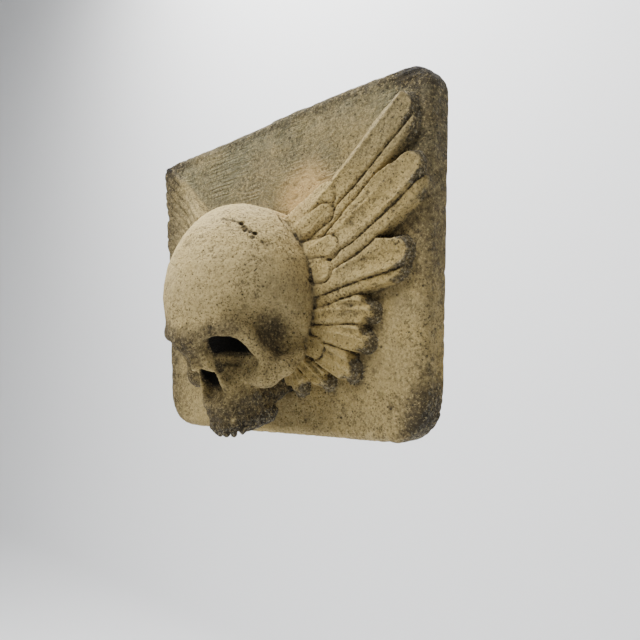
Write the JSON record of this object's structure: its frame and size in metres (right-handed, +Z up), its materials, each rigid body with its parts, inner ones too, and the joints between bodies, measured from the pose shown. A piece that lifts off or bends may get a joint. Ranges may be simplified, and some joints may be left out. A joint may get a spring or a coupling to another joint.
{
  "type": "skull wall plaque",
  "caption": "Cast stone wall plaque: a life-size skull in high relief, tilted down between spread feathered wings, on a rectangular slab.",
  "frame": {"origin": "centre of the slab's flat back, where the plaque lies against the wall", "axes": "+Y into the wall, normal to the slab's back, so the carving faces -Y; +Z up; +X to the right as seen from the front"},
  "size_m": [0.37, 0.1287, 0.3032],
  "materials": {
    "cast_stone": "rough, granular, weathered buff cast stone"
  },
  "bodies": {
    "root": {"winged_skull_plaque": "cast_stone"}
  },
  "joints": []
}
